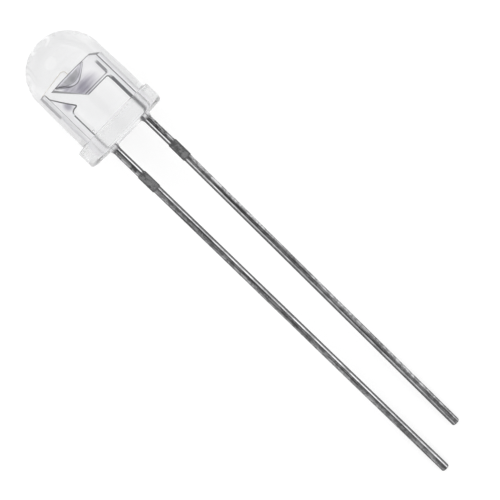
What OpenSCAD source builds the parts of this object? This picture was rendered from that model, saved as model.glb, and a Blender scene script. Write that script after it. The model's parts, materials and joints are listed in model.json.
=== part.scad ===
// Through-hole LED, 5 mm, water clear: a cast resin lens on a stamped two-piece lead frame.
//
// The LED is drawn upright in its own axes, as on a data sheet: x runs across the leads with
// the anode at -x, y runs through the strip, and z runs up the lens axis from the flange's
// underside. lie_down() then lays it as it comes to rest, on its flange rim and both lead tips.

/* [Lens] */
// Diameter of the barrel where it leaves the flange
barrel_d = 5.0; // [4.8:0.05:5.2]
// Height of the lens from the flange's underside to the top of the dome
lens_h = 7.3; // [7.1:0.1:9.0]
// Mould draft of the barrel, in degrees a side
draft = 1.2; // [0.4:0.2:2.0]
// Straight band of the barrel above the flange, which sits in a panel hole
register_h = 1.2; // [1.05:0.05:1.6]
// Diameter of the flange
flange_d = 5.9; // [5.7:0.05:6.1]
// Height of the flange
flange_h = 1.15; // [0.9:0.05:1.3]
// Rounding of the flange's edges
flange_edge = 0.2; // [0.1:0.02:0.24]
// Distance of the cathode flat from the lens axis
flat_off = 2.67; // [2.62:0.01:2.76]
// Radius of the resin meniscus where a lead leaves the lens
meniscus_r = 0.26; // [0.18:0.02:0.34]
// Width of resin that still clings to a lead at the foot of its meniscus
meniscus_film = 0.02; // [0.015:0.005:0.04]

/* [Leads] */
// Distance between the two lead centres
lead_pitch = 2.54; // [2.5:0.01:2.6]
// Width of a lead across the strip
lead_w = 0.5; // [0.42:0.02:0.56]
// Thickness of the strip that both frame pieces are stamped from
strip_t = 0.5; // [0.4:0.02:0.54]
// Length of the anode lead below the flange
anode_len = 26.6; // [26.0:0.1:30.0]
// Length of the cathode lead below the flange
cathode_len = 25.2; // [24.5:0.1:25.8]
// Bend of the short lead at its stub, its tip towards the long lead, in degrees
toe_in = 0.6; // [0:0.1:1.0]
// Rounding of a lead's two outer edges
lead_round = 0.16; // [0.08:0.02:0.19]
// Chamfer of a lead's two inner edges
lead_chamfer = 0.08; // [0.04:0.01:0.12]
// Rounding of the corners at a lead's tip
tip_round = 0.14; // [0.06:0.02:0.18]
// Height of the plain shoulder under the post and the anvil, where a lead's inner edges are sharp
shoulder_h = 0.35; // [0.3:0.05:0.5]
// Distance from the flange to the stub that the cut tie bar leaves
stub_down = 2.2; // [1.4:0.1:4.0]
// Length of the tie bar stub along the lead
stub_len = 1.3; // [0.8:0.1:1.6]
// How far the tie bar stub stands out on each side of the lead
stub_out = 0.04; // [0.02:0.01:0.1]

/* [Anvil] */
// Height of the anvil's top and the cup's rim above the flange's underside
anvil_top = 4.7; // [4.5:0.05:4.85]
// Height of the anvil's underside
anvil_under = 3.05; // [2.9:0.05:3.3]
// Reach of the anvil's nose past the lens axis, towards the anode
anvil_nose = 0.95; // [0.92:0.01:1.0]
// Reach of the anvil's heel past the lens axis, towards the anode
anvil_heel = 0.05; // [0.0:0.01:0.15]
// Width of the sloping cut at the anvil's outer corner
corner_w = 0.5; // [0.3:0.02:0.56]
// Height of the sloping cut at the anvil's outer corner
corner_h = 0.47; // [0.2:0.02:0.6]
// How far coining the cup pushes the anvil's panel out of each face of the strip
panel_out = 0.05; // [0.02:0.01:0.06]
// Height of the plain lip between the anvil's underside and the panel's slope
lip_h = 0.03; // [0.02:0.01:0.05]
// Width of the slope round the panel
slope_w = 0.17; // [0.08:0.01:0.2]
// Distance from the anvil's outer side to the foot of the panel's slope
panel_side = 0.28; // [0.26:0.01:0.34]
// Radius of the fillet between the anvil and its stem
anvil_fillet = 0.12; // [0.06:0.02:0.2]

/* [Reflector cup] */
// Offset of the cup's axis from the lens axis, towards the cathode
cup_off = -0.06; // [-0.08:0.01:0.04]
// Outer radius of the cup's rim
cup_r = 0.84; // [0.78:0.01:0.86]
// Radius of the cup's mouth
cup_mouth_r = 0.62; // [0.55:0.01:0.66]
// Radius of the cup's floor
cup_floor_r = 0.32; // [0.28:0.01:0.34]
// Depth of the cup
cup_depth = 0.42; // [0.36:0.01:0.46]
// Height of the straight band round the cup's rim
rim_band = 0.1; // [0.06:0.01:0.14]
// Distance from the rim down to where the cup's cone meets the face of the panel
cone_h = 0.76; // [0.7:0.02:0.9]

/* [Post] */
// Height of the post's top above the flange's underside
post_top = 4.89; // [4.82:0.01:4.98]
// Height of the post's underside
post_under = 3.05; // [2.9:0.05:3.2]
// Width of the post's top, where the wire is bonded
post_tip_w = 0.27; // [0.22:0.01:0.38]
// Height of the post's straight tip above its sloping edge
post_tip_h = 0.38; // [0.2:0.02:0.44]
// How far the post stands out past its lead's outer edge
post_flare = 0.08; // [0.02:0.01:0.12]
// Height of the step under that flare above the post's underside
flare_step = 0.2; // [0.1:0.02:0.4]
// Reach of the post's toe from its lead's inner edge, towards the anvil
post_toe = 0.4; // [0.3:0.02:0.46]
// Radius of the post's toe
toe_round = 0.08; // [0.04:0.01:0.1]
// Radius of the fillet between the post and its stem
post_fillet = 0.2; // [0.1:0.02:0.24]

/* [Chip and wire] */
// Side of the square chip
chip_w = 0.3; // [0.22:0.01:0.34]
// Height of the chip
chip_h = 0.15; // [0.1:0.01:0.2]
// Thickness of the adhesive under the chip
glue_t = 0.03; // [0.02:0.005:0.05]
// How far the adhesive spreads past the chip's corners
glue_spread = 0.03; // [0.01:0.01:0.05]
// Diameter of the bond wire
wire_d = 0.03; // [0.025:0.005:0.04]
// Diameter of the squashed ball that joins the wire to the chip
ball_d = 0.1; // [0.08:0.01:0.12]
// Height of that ball
ball_h = 0.03; // [0.02:0.005:0.04]
// Radius of the wire's bend above the chip
bend_r = 0.15; // [0.1:0.01:0.2]
// Height of the top of the bend above the cup's rim
loop_h = 0.35; // [0.28:0.01:0.4]
// Length of the stitch that joins the wire to the post
stitch_len = 0.12; // [0.08:0.01:0.16]
// Width of the stitch
stitch_w = 0.07; // [0.06:0.01:0.1]
// Thickness of the stitch under the wire
stitch_t = 0.005; // [0.004:0.001:0.01]

/* [Hidden] */
$fn = 64;
over = 0.5; // how far a cutting shape runs past what it cuts

barrel_r = barrel_d / 2;
flange_r = flange_d / 2;
register_top = flange_h + register_h;
// The dome is the sphere that touches the drafted barrel all round and ends at lens_h.
dome_r = (barrel_r - (lens_h - register_top) * tan(draft)) * cos(draft) / (1 - sin(draft));
dome_z = lens_h - dome_r;
dome_join_z = dome_z + dome_r * sin(draft);

lead_x = lead_pitch / 2;
lead_in = lead_x - lead_w / 2;
lead_out = lead_x + lead_w / 2;
panel_y = strip_t / 2 + panel_out;
post_out = lead_out + post_flare;
stub_mid = stub_down + stub_len / 2;

cup_floor_z = anvil_top - cup_depth;
chip_z = cup_floor_z + glue_t;
ball_z = chip_z + chip_h;

// The wire runs straight up from the ball, round the bend, and down its tangent to the stitch.
bend_x = cup_off - bend_r;
bend_z = anvil_top + loop_h - bend_r;
stitch_x = -post_out + post_tip_w / 2;
wire_end_z = post_top + stitch_t + wire_d / 2;
wire_span = norm([bend_x - stitch_x, bend_z - wire_end_z]);
wire_fall = atan2(bend_z - wire_end_z, bend_x - stitch_x) + asin(bend_r / wire_span);

// At rest the rounded flange edge and both lead tips touch the bench.
tip_drop = flange_r - flange_edge - strip_t / 2;
tip_run = (anode_len + cathode_len) / 2 + flange_edge;
rest_pitch = atan2(tip_drop, tip_run) + asin(flange_edge / norm([tip_drop, tip_run]));
tip_spread = lead_pitch - (cathode_len - stub_mid) * sin(toe_in);
rest_roll = asin((anode_len - cathode_len) * tan(rest_pitch) / tip_spread);

// Lays the upright LED down: dome towards +X, anode towards +Y, front of the strip up. The
// origin stays in the middle of the flange's underside, between the leads.
module lie_down() {
    rotate([0, -rest_pitch, 0])
        rotate([-90, 0, 0])
            rotate([0, 90, 0])
                rotate([0, 0, rest_roll])
                    children();
}

// Turns a front-view outline (x, z) into a slab that is centred on y = 0.
module slab(thickness) {
    rotate([90, 0, 0])
        linear_extrude(thickness, center = true)
            children();
}

function unit(v) = v / norm(v);
function cross_z(a, b) = a[0] * b[1] - a[1] * b[0];
function flat_point(p) = [p[0], p[1]];
function step_to(points, i, step) =
    unit(flat_point(points[(i + len(points) + step) % len(points)]) - flat_point(points[i]));
function to_last(points, i) = step_to(points, i, -1);
function to_next(points, i) = step_to(points, i, 1);
function half_angle(points, i) = acos(to_last(points, i) * to_next(points, i)) / 2;
function is_hollow(points, i) = cross_z(to_last(points, i), to_next(points, i)) > 0;
function round_centre(points, i) =
    flat_point(points[i])
    + unit(to_last(points, i) + to_next(points, i)) * points[i][2] / sin(half_angle(points, i));
function cut_back(points, i) = points[i][2] / tan(half_angle(points, i));

// A stamped outline. Each point is [x, z, corner radius], anticlockwise; outside corners are
// rounded by a disc, and inside corners are filled and then scooped by one.
module blank(points) {
    outline = [
        for (i = [0:len(points) - 1])
            each points[i][2] == 0
                ? [flat_point(points[i])]
                : [flat_point(points[i]) + to_last(points, i) * cut_back(points, i),
                   flat_point(points[i]) + to_next(points, i) * cut_back(points, i)]
    ];
    rounded = [for (i = [0:len(points) - 1]) if (points[i][2] > 0) i];
    difference() {
        union() {
            polygon(outline);
            for (i = rounded)
                if (!is_hollow(points, i))
                    translate(round_centre(points, i)) circle(points[i][2]);
        }
        for (i = rounded)
            if (is_hollow(points, i))
                translate(round_centre(points, i)) circle(points[i][2]);
    }
}

// Half section of the dome and the drafted barrel.
module barrel_profile() {
    intersection() {
        translate([0, dome_z]) circle(dome_r);
        translate([0, dome_join_z]) square(dome_r);
    }
    polygon([
        [0, flange_h / 2],
        [barrel_r, flange_h / 2],
        [barrel_r, register_top],
        [dome_r * cos(draft), dome_join_z],
        [0, dome_join_z]
    ]);
}

// A bar from x = 0 to reach with both outer corners rounded, used as the flange's section.
module rounded_end(reach, height, edge) {
    square([reach - edge, height]);
    translate([0, edge]) square([reach, height - 2 * edge]);
    for (z = [edge, height - edge])
        translate([reach - edge, z]) circle(edge);
}

// The round flange with its one flat on the cathode side.
module flange() {
    intersection() {
        rotate_extrude() rounded_end(flange_r, flange_h, flange_edge);
        translate([-flange_d, 0, 0])
            slab(flange_d + over)
                rounded_end(flange_d + flat_off, flange_h, flange_edge);
    }
}

// The cove of resin that climbs a lead as it leaves the lens.
module meniscus() {
    foot_r = lead_w / 2 + meniscus_film;
    mirror([0, 0, 1])
        rotate_extrude() {
            square([foot_r, meniscus_r]);
            difference() {
                square([foot_r + meniscus_r, meniscus_r]);
                translate([foot_r + meniscus_r, meniscus_r]) circle(meniscus_r);
            }
        }
}

// The resin casting, moulded round everything inside it.
module lens_body() {
    color([0.93, 0.94, 0.95, 0.35])
        difference() {
            union() {
                rotate_extrude() barrel_profile();
                flange();
                for (x = [-lead_x, lead_x])
                    translate([x, 0, 0]) meniscus();
            }
            anode_lead();
            cathode_lead();
            led_chip();
            chip_adhesive();
            bond_wire();
        }
}

// Cutter that rounds the two edges of a piece whose outer side is at x = -side.
module outer_edge_cut(side, bottom, top) {
    for (face = [0, 1])
        mirror([0, face, 0])
            translate([-side, strip_t / 2, bottom])
                linear_extrude(top - bottom)
                    difference() {
                        translate([-over, -lead_round]) square(over + lead_round);
                        translate([lead_round, -lead_round]) circle(lead_round);
                    }
}

// Cutter that chamfers the two edges of a lead whose inner side is at x = -side.
module inner_edge_cut(side, bottom, top) {
    for (face = [0, 1])
        mirror([0, face, 0])
            translate([-side, strip_t / 2, bottom])
                linear_extrude(top - bottom)
                    polygon([
                        [-lead_chamfer, 0],
                        [0, -lead_chamfer],
                        [over, -lead_chamfer],
                        [over, over],
                        [-lead_chamfer, over]
                    ]);
}

// What is left of the tie bar on a lead at x = 0, sheared square.
module tie_bar_stub() {
    reach = lead_w / 2 + stub_out;
    slope = stub_out * 2;
    slab(strip_t)
        polygon([
            [-lead_w / 2, -stub_down],
            [-reach, -stub_down - slope],
            [-reach, -stub_down - stub_len + slope],
            [-lead_w / 2, -stub_down - stub_len],
            [lead_w / 2, -stub_down - stub_len],
            [reach, -stub_down - stub_len + slope],
            [reach, -stub_down - slope],
            [lead_w / 2, -stub_down]
        ]);
}

// The long lead and the post at its top, stamped in one.
module anode_lead() {
    toe_x = -lead_in + post_toe;
    tip_x = -post_out + post_tip_w;
    foot_z = post_under - shoulder_h;
    flare_z = post_under + flare_step;
    color([0.80, 0.80, 0.82]) {
        difference() {
            slab(strip_t)
                blank([
                    [-lead_out, -anode_len, tip_round],
                    [-lead_in, -anode_len, tip_round],
                    [-lead_in, post_under, post_fillet],
                    [toe_x, post_under, toe_round],
                    [tip_x, post_top - post_tip_h, 0],
                    [tip_x, post_top, 0],
                    [-post_out, post_top, 0],
                    [-post_out, flare_z, 0],
                    [-lead_out, flare_z, 0]
                ]);
            outer_edge_cut(lead_out, -anode_len - over, flare_z);
            outer_edge_cut(post_out, flare_z, post_top + over);
            inner_edge_cut(lead_in, -anode_len - over, foot_z);
        }
        translate([-lead_x, 0, 0]) tie_bar_stub();
    }
}

// Outside of the reflector cup: a cone that swells out of the strip, and its rim band.
module cup_shell() {
    cone_slope = (cup_r - panel_y) / (cone_h - rim_band);
    root_r = panel_y / 2;
    root_z = anvil_top - cone_h - (panel_y - root_r) / cone_slope;
    translate([cup_off, 0, root_z])
        cylinder(h = anvil_top - rim_band - root_z, r1 = root_r, r2 = cup_r);
    translate([cup_off, 0, anvil_top - rim_band])
        cylinder(h = rim_band, r = cup_r);
}

// Inside of the cup, which opens upwards.
module cup_hollow() {
    cup_slope = (cup_mouth_r - cup_floor_r) / cup_depth;
    translate([cup_off, 0, cup_floor_z])
        cylinder(h = cup_depth + over, r1 = cup_floor_r, r2 = cup_mouth_r + over * cup_slope);
}

// The anvil's panel, proud of both faces of the strip, with a slope below and at its outer side.
module coined_panel() {
    panel_x = lead_out - panel_side;
    slope_z = anvil_under + lip_h;
    intersection() {
        slab(2 * panel_y)
            polygon([
                [-anvil_nose, anvil_top],
                [-anvil_heel, anvil_under],
                [lead_out, anvil_under],
                [lead_out, anvil_top - corner_h],
                [lead_out - corner_w, anvil_top]
            ]);
        translate([-anvil_nose - over, 0, 0])
            rotate([90, 0, 90])
                linear_extrude(anvil_nose + panel_x + 2 * over)
                    polygon([
                        [-strip_t / 2, slope_z],
                        [strip_t / 2, slope_z],
                        [panel_y, slope_z + slope_w],
                        [panel_y, anvil_top],
                        [-panel_y, anvil_top],
                        [-panel_y, slope_z + slope_w]
                    ]);
        linear_extrude(anvil_top + over)
            polygon([
                [-anvil_nose - over, -panel_y],
                [panel_x - slope_w, -panel_y],
                [panel_x, -strip_t / 2],
                [panel_x, strip_t / 2],
                [panel_x - slope_w, panel_y],
                [-anvil_nose - over, panel_y]
            ]);
    }
}

// Works the edges of a stretch of the short lead, as the long lead's are worked.
module short_lead_edges() {
    difference() {
        children();
        mirror([1, 0, 0]) {
            outer_edge_cut(lead_out, -cathode_len - over, anvil_top + over);
            inner_edge_cut(lead_in, -cathode_len - over, anvil_under - shoulder_h);
        }
    }
}

// The anvil and the top of its lead, down to a third of the way through the stub.
module anvil_blank() {
    bottom = -stub_down - stub_len / 3;
    short_lead_edges()
        slab(strip_t)
            blank([
                [lead_in, bottom, 0],
                [lead_out, bottom, 0],
                [lead_out, anvil_top - corner_h, 0],
                [lead_out - corner_w, anvil_top, 0],
                [-anvil_nose, anvil_top, 0],
                [-anvil_heel, anvil_under, 0],
                [lead_in, anvil_under, anvil_fillet]
            ]);
}

// The short lead from the last third of its stub to its tip, bent towards the long one.
module short_lead_end() {
    top = -stub_down - stub_len * 2 / 3;
    translate([lead_x, 0, -stub_mid])
        rotate([0, toe_in, 0])
            translate([-lead_x, 0, stub_mid])
                short_lead_edges()
                    slab(strip_t)
                        blank([
                            [lead_in, -cathode_len, tip_round],
                            [lead_out, -cathode_len, tip_round],
                            [lead_out, top, 0],
                            [lead_in, top, 0]
                        ]);
}

// The short lead and its anvil, one stamping, with the reflector cup coined into the anvil's top.
module cathode_lead() {
    color([0.82, 0.82, 0.84]) {
        difference() {
            union() {
                anvil_blank();
                coined_panel();
                cup_shell();
            }
            cup_hollow();
        }
        translate([lead_x, 0, 0]) tie_bar_stub();
        short_lead_end();
    }
}

// The light-emitting chip on the cup's floor.
module led_chip() {
    color([0.30, 0.32, 0.36])
        translate([cup_off - chip_w / 2, -chip_w / 2, chip_z])
            cube([chip_w, chip_w, chip_h]);
}

// The silver-filled adhesive between the chip and the cup.
module chip_adhesive() {
    color([0.62, 0.63, 0.66])
        translate([cup_off, 0, cup_floor_z])
            cylinder(h = glue_t, r = chip_w / sqrt(2) + glue_spread);
}

// The gold wire: ball, rise, bend, fall and stitch.
module bond_wire() {
    color([0.90, 0.72, 0.35]) {
        translate([cup_off, 0, ball_z])
            rotate_extrude() {
                square([ball_d / 2 - ball_h / 2, ball_h]);
                translate([ball_d / 2 - ball_h / 2, ball_h / 2]) circle(ball_h / 2);
            }
        translate([cup_off, 0, ball_z + ball_h / 2])
            cylinder(h = bend_z - ball_z - ball_h / 2, d = wire_d);
        translate([bend_x, 0, bend_z]) {
            rotate([90, 0, 0])
                rotate_extrude(angle = 90 + wire_fall)
                    translate([bend_r, 0]) circle(d = wire_d);
            rotate([0, -wire_fall, 0])
                translate([0, 0, bend_r])
                    rotate([0, -90, 0])
                        cylinder(h = sqrt(wire_span * wire_span - bend_r * bend_r), d = wire_d);
        }
        translate([stitch_x - stitch_len / 2, -stitch_w / 2, post_top])
            cube([stitch_len, stitch_w, wire_end_z - post_top]);
    }
}

lie_down() lens_body();
lie_down() anode_lead();
lie_down() cathode_lead();
lie_down() led_chip();
lie_down() chip_adhesive();
lie_down() bond_wire();
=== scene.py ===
"""Through-hole LED: the looks of its pieces, laid out as an add-on and run as a script."""
import json
import math
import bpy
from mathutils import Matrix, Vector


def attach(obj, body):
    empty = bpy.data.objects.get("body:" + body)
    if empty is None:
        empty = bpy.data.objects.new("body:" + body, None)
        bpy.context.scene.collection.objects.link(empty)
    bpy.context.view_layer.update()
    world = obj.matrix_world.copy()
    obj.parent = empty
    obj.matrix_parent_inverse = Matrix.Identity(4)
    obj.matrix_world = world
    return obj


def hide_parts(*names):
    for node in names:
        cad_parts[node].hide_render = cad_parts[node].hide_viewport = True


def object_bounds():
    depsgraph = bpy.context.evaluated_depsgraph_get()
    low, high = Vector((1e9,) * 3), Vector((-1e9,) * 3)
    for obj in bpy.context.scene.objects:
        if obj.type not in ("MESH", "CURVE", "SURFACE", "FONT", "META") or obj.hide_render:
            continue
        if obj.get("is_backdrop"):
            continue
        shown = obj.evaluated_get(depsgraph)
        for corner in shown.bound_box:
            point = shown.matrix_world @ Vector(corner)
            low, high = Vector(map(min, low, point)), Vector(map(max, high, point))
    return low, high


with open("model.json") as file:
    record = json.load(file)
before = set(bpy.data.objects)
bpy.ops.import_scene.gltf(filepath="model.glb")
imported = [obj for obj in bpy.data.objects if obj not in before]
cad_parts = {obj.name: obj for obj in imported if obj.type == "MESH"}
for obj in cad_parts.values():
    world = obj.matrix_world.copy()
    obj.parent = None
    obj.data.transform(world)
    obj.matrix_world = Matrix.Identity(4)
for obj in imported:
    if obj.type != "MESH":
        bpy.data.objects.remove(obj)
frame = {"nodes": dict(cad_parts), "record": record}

from types import SimpleNamespace

import bmesh
import bpy
import numpy as np
from bpy.props import FloatProperty, FloatVectorProperty, IntProperty, PointerProperty
from mathutils import Matrix

bl_info = {
    "name": "Through-hole LED",
    "version": (1, 0, 0),
    "blender": (4, 5, 0),
    "location": "View3D > Sidebar > LED",
    "description": "Builds a clear through-hole LED with its stamped frame, chip and bond wire",
    "category": "Add Mesh",
}

MM = 0.001
# Joined parts keep this far apart where their faces would lie in one plane.
STEP = 0.0002 * MM
# How far a lead reaches up into its head, and a cutter past what it cuts.
OVERLAP = 0.1 * MM
# Rounding of corners that lie inside a joined part, or that are all but sharp.
TIGHT = 0.02 * MM
# Largest area of a stamping's face that is still shaded as round.
ROUND_FACE = 0.04 * MM * MM
WHITE = (1.0, 1.0, 1.0)
RESIN_IOR = 1.53
CRYSTAL_IOR = 2.4
# Tone of the stains and of the painted shade on the leads, as a share of the sheared steel's.
STAIN_AND_SHADE = 0.3
MOUNTS = {mount["name"]: mount for mount in frame["record"]["mounts"]}

# The LED's own axes in the row frame: across the leads, through the strip, up the lens axis.
UP = -np.array(MOUNTS["board_seat"]["axis"], float)
ACROSS = np.array(MOUNTS["cathode_flat"]["axis"], float)
AXES = np.array([ACROSS, np.cross(UP, ACROSS), UP])


def node_span(node, axis):
    """Lowest and highest reach of a CAD node along one of the LED's own axes, in metres."""
    mesh = frame["nodes"][node].data
    points = np.zeros(len(mesh.vertices) * 3, np.float32)
    mesh.vertices.foreach_get("co", points)
    along = points.reshape(-1, 3) @ AXES[axis]
    return float(along.min()), float(along.max())


def length(name, description, millimetres):
    """A length property with its default given in millimetres."""
    return FloatProperty(
        name=name, description=description, default=millimetres * MM,
        min=0.0, unit="LENGTH", precision=6,
    )


def point(name, description, millimetres):
    """A property for a point, with its default given in millimetres."""
    return FloatVectorProperty(
        name=name, description=description, default=[part * MM for part in millimetres],
        subtype="TRANSLATION", unit="LENGTH", size=3,
    )


def colour(name, description, value):
    """A colour property."""
    return FloatVectorProperty(
        name=name, description=description, default=value,
        subtype="COLOR", size=3, min=0.0, max=1.0,
    )


LENS_ACROSS = node_span("lens_body", 0)


class LensSizes(bpy.types.PropertyGroup):
    """Sizes of the resin casting."""

    barrel_radius: length(
        "Barrel radius", "Radius of the barrel above the flange",
        MOUNTS["panel_barrel"]["dims"]["r_mm"])
    register_height: length(
        "Register height", "Height of the barrel's straight band",
        MOUNTS["panel_barrel"]["dims"]["length_mm"])
    top: length("Top", "Height of the dome above the seat", node_span("lens_body", 2)[1] / MM)
    flange_radius: length("Flange radius", "Radius of the flange", -LENS_ACROSS[0] / MM)
    flat: length("Flat", "Distance of the cathode flat from the axis", LENS_ACROSS[1] / MM)
    flange_height: length("Flange height", "Height of the flange", 1.15)
    flange_edge: length("Flange edge", "Rounding of the flange's edges", 0.2)
    root_fillet: length("Root fillet", "Fillet between the flange and the barrel", 0.02)
    meniscus: length("Meniscus", "Radius of the cove of resin round each lead", 0.3)
    film: length("Film", "Width of resin at the foot of the cove", 0.02)
    bubble: length("Bubble", "Radius of the small bubble by the long lead", 0.08)
    bubble_place: point(
        "Bubble place", "Middle of the bubble, in the LED's own axes", (-1.16, -1.0, 1.37))
    draft: FloatProperty(
        name="Draft", description="Mould draft of the barrel",
        default=math.radians(1.2), subtype="ANGLE")


class LeadSizes(bpy.types.PropertyGroup):
    """Sizes of both leads and of the heads that they carry."""

    pitch: length("Pitch", "Distance between the lead centres", 2.54)
    width: length("Width", "Width of a lead", 0.5)
    strip: length("Strip", "Thickness of the strip", 0.5)
    anode: length(
        "Anode length", "Length of the long lead below the seat",
        -node_span("anode_lead", 2)[0] / MM)
    cathode: length(
        "Cathode length", "Length of the short lead below the seat",
        -node_span("cathode_lead", 2)[0] / MM)
    outer_round: length("Outer rounding", "Rounding of a lead's outer edges", 0.16)
    inner_round: length("Inner rounding", "Rounding of a lead's inner edges", 0.1)
    facet: length("Facet", "Distance from a lead's inner side to the foot of its facet", 0.19)
    facet_fall: length("Facet fall", "How far that facet falls away", 0.04)
    tip_round: length("Tip rounding", "Rounding of a lead's tip", 0.14)
    sheared: length("Sheared edge", "Rounding of a sheared edge", 0.09)
    stub_down: length("Stub place", "Distance from the seat to the tie bar stub", 2.2)
    stub_length: length("Stub length", "Length of the tie bar stub", 1.3)
    stub_out: length("Stub reach", "How far the stub stands out at each side", 0.04)
    toe_in: FloatProperty(
        name="Toe-in", description="Bend of the short lead at its stub",
        default=math.radians(0.6), subtype="ANGLE")


class HeadSizes(bpy.types.PropertyGroup):
    """Sizes of the anvil, its reflector cup and the post."""

    anvil_top: length("Anvil top", "Height of the anvil's top", node_span("cathode_lead", 2)[1] / MM)
    anvil_under: length("Anvil underside", "Height of the anvil's underside", 3.05)
    nose: length("Nose", "Reach of the anvil's nose past the lens axis", 0.95)
    heel: length("Heel", "Reach of the anvil's heel past the lens axis", 0.05)
    shoulder: length("Shoulder", "Height of the plain shoulder under the heads", 0.24)
    corner_width: length("Corner width", "Width of the anvil's cut corner", 0.5)
    corner_height: length("Corner height", "Height of the anvil's cut corner", 0.47)
    fillet: length("Fillet", "Fillet between the anvil and its stem", 0.12)
    panel_out: length("Panel", "How far the coined panel stands out", 0.05)
    panel_lip: length("Panel lip", "Height of the lip under the panel", 0.03)
    panel_slope: length("Panel slope", "Width of the slope round the panel", 0.17)
    panel_side: length("Panel side", "Distance from the anvil's side to the panel", 0.28)
    cup_offset: length("Cup offset", "Distance of the cup's axis from the lens axis", 0.06)
    cup_radius: length("Cup radius", "Outer radius of the cup's rim", node_span("cathode_lead", 1)[1] / MM)
    cup_mouth: length("Cup mouth", "Radius of the cup's mouth", 0.62)
    cup_floor: length("Cup floor", "Radius of the cup's floor", 0.32)
    cup_depth: length("Cup depth", "Depth of the cup", 0.42)
    cone_height: length("Cone height", "Height of the cup's outer cone", 0.76)
    rim_band: length("Rim band", "Height of the band round the cup's rim", 0.1)
    post_top: length("Post top", "Height of the post's top", node_span("anode_lead", 2)[1] / MM)
    post_under: length("Post underside", "Height of the post's underside", 3.05)
    post_tip: length("Post tip", "Width of the post's top", 0.27)
    post_tip_height: length("Post tip height", "Height of the post's straight tip", 0.38)
    post_flare: length("Post flare", "How far the post stands out past its lead", 0.08)
    flare_step: length("Flare step", "Height of the step under the flare", 0.2)
    post_toe: length("Post toe", "Reach of the post's toe towards the anvil", 0.4)
    toe_round: length("Toe rounding", "Radius of the post's toe", 0.1)
    post_fillet: length("Post fillet", "Fillet between the post and its stem", 0.2)


class ChipSizes(bpy.types.PropertyGroup):
    """Sizes of the chip, its adhesive and the bond wire."""

    chip: length("Chip", "Side of the chip", 0.3)
    chip_height: length("Chip height", "Height of the chip", 0.15)
    glue: length("Adhesive", "Thickness of the adhesive", 0.03)
    glue_spread: length("Adhesive spread", "Reach of the adhesive past the chip's corners", 0.03)
    wire: length("Wire", "Diameter of the bond wire", 0.03)
    ball: length("Ball", "Diameter of the bonded ball", 0.1)
    ball_height: length("Ball height", "Height of the bonded ball", 0.03)
    bend: length("Bend", "Radius of the wire's bend", 0.15)
    loop: length("Loop", "Height of the bend's top above the cup's rim", 0.35)
    stitch_length: length("Stitch length", "Length of the stitch on the post", 0.12)
    stitch_width: length("Stitch width", "Width of the stitch on the post", 0.07)
    stitch_thickness: length("Stitch thickness", "Thickness of the stitch", 0.005)


class Finishes(bpy.types.PropertyGroup):
    """Colours of the materials."""

    resin: colour("Resin", "Tint of the clear resin", (0.94, 0.941, 0.945))
    # Painted shade: the resin's tint is greyer in the dome and darker along the barrel's sides.
    dome: colour("Dome", "Tint of the resin in the dome", (0.88, 0.881, 0.885))
    side: colour("Side", "Tint of the resin along the barrel's sides", (0.64, 0.642, 0.65))
    plated: colour("Plated face", "Plated faces inside the lens", (0.99, 0.985, 1.0))
    cup: colour("Cup", "Bright outside of the reflector cup", (0.80, 0.79, 0.84))
    # Painted shade on the upper part of the cup's outside.
    hollow: colour("Cup shade", "Duller upper part of the cup's outside", (0.45, 0.45, 0.47))
    # Painted shade: the lavender grey of the spots on the plated faces.
    shade: colour("Plated shade", "Duller parts of the plated faces", (0.40, 0.37, 0.48))
    # Painted shade: the dark colour of the edges, slopes and lines inside the lens.
    edge: colour("Plated edge", "Sheared and coined edges inside the lens", (0.12, 0.12, 0.13))
    lead: colour("Tinned lead", "Tinned steel of the leads", (0.25, 0.25, 0.255))
    sheared: colour("Sheared steel", "Bare steel of the tie bar stubs", (0.13, 0.13, 0.132))
    chip: colour("Chip", "Crystal of the chip", (0.30, 0.34, 0.38))
    adhesive: colour("Adhesive", "Silver-filled adhesive", (0.62, 0.62, 0.64))
    gold: colour("Gold", "Gold of the bond wire", (0.68, 0.64, 0.57))


class StageSettings(bpy.types.PropertyGroup):
    """The photograph's view and the plain studio."""

    scale: FloatProperty(
        name="Scale", description="Pixels to the metre at the lens axis", default=17400.0)
    seat_x: FloatProperty(name="Seat x", description="Column of the seat's middle", default=128.8)
    seat_y: FloatProperty(name="Seat y", description="Row of the seat's middle", default=131.3)
    image: IntProperty(name="Image", description="Side of the picture in pixels", default=500)
    slant: FloatProperty(
        name="Slant", description="Angle of the leads below the picture's horizontal",
        default=math.radians(44.0), subtype="ANGLE")
    distance: length("Distance", "Distance from the camera to the lens axis", 250.0)
    floor_size: length("Floor size", "Side of the floor", 1200.0)
    lamp_power: FloatProperty(
        name="Lamp power", description="Power of the soft lamp", default=0.2, unit="POWER")
    lamp_size: length("Lamp size", "Diameter of the soft lamp", 300.0)
    lamp_place: point("Lamp place", "Place of the soft lamp", (350.0, 100.0, 350.0))


def sizes(name):
    """A property group of the scene, by its name."""
    return getattr(bpy.context.scene, name)


def in_millimetres(name):
    """The lengths of a property group of the scene, in millimetres."""
    group = sizes(name)
    return SimpleNamespace(**{
        kind.identifier: getattr(group, kind.identifier) / MM
        for kind in group.bl_rna.properties if kind.unit == "LENGTH"
    })


def lead_sides(lead):
    """Distances of a lead's inner and outer side from the lens axis."""
    return (lead.pitch - lead.width) / 2, (lead.pitch + lead.width) / 2


def post_middle(lead, head):
    """Distance of the middle of the post's top from the lens axis."""
    return lead_sides(lead)[1] + head.post_flare - head.post_tip / 2


def chip_levels(chip, head):
    """Heights of the cup's floor, the chip's underside and the chip's top."""
    floor = head.anvil_top - head.cup_depth
    return floor, floor + chip.glue, floor + chip.glue + chip.chip_height


def arc(centre, radius, start, stop, steps):
    """Points of a circular arc: centre + radius (cos t, sin t), t evenly from start to stop."""
    t = np.linspace(math.radians(start), math.radians(stop), steps)
    return np.stack([centre[0] + radius * np.cos(t), centre[1] + radius * np.sin(t)], axis=1)


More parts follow.
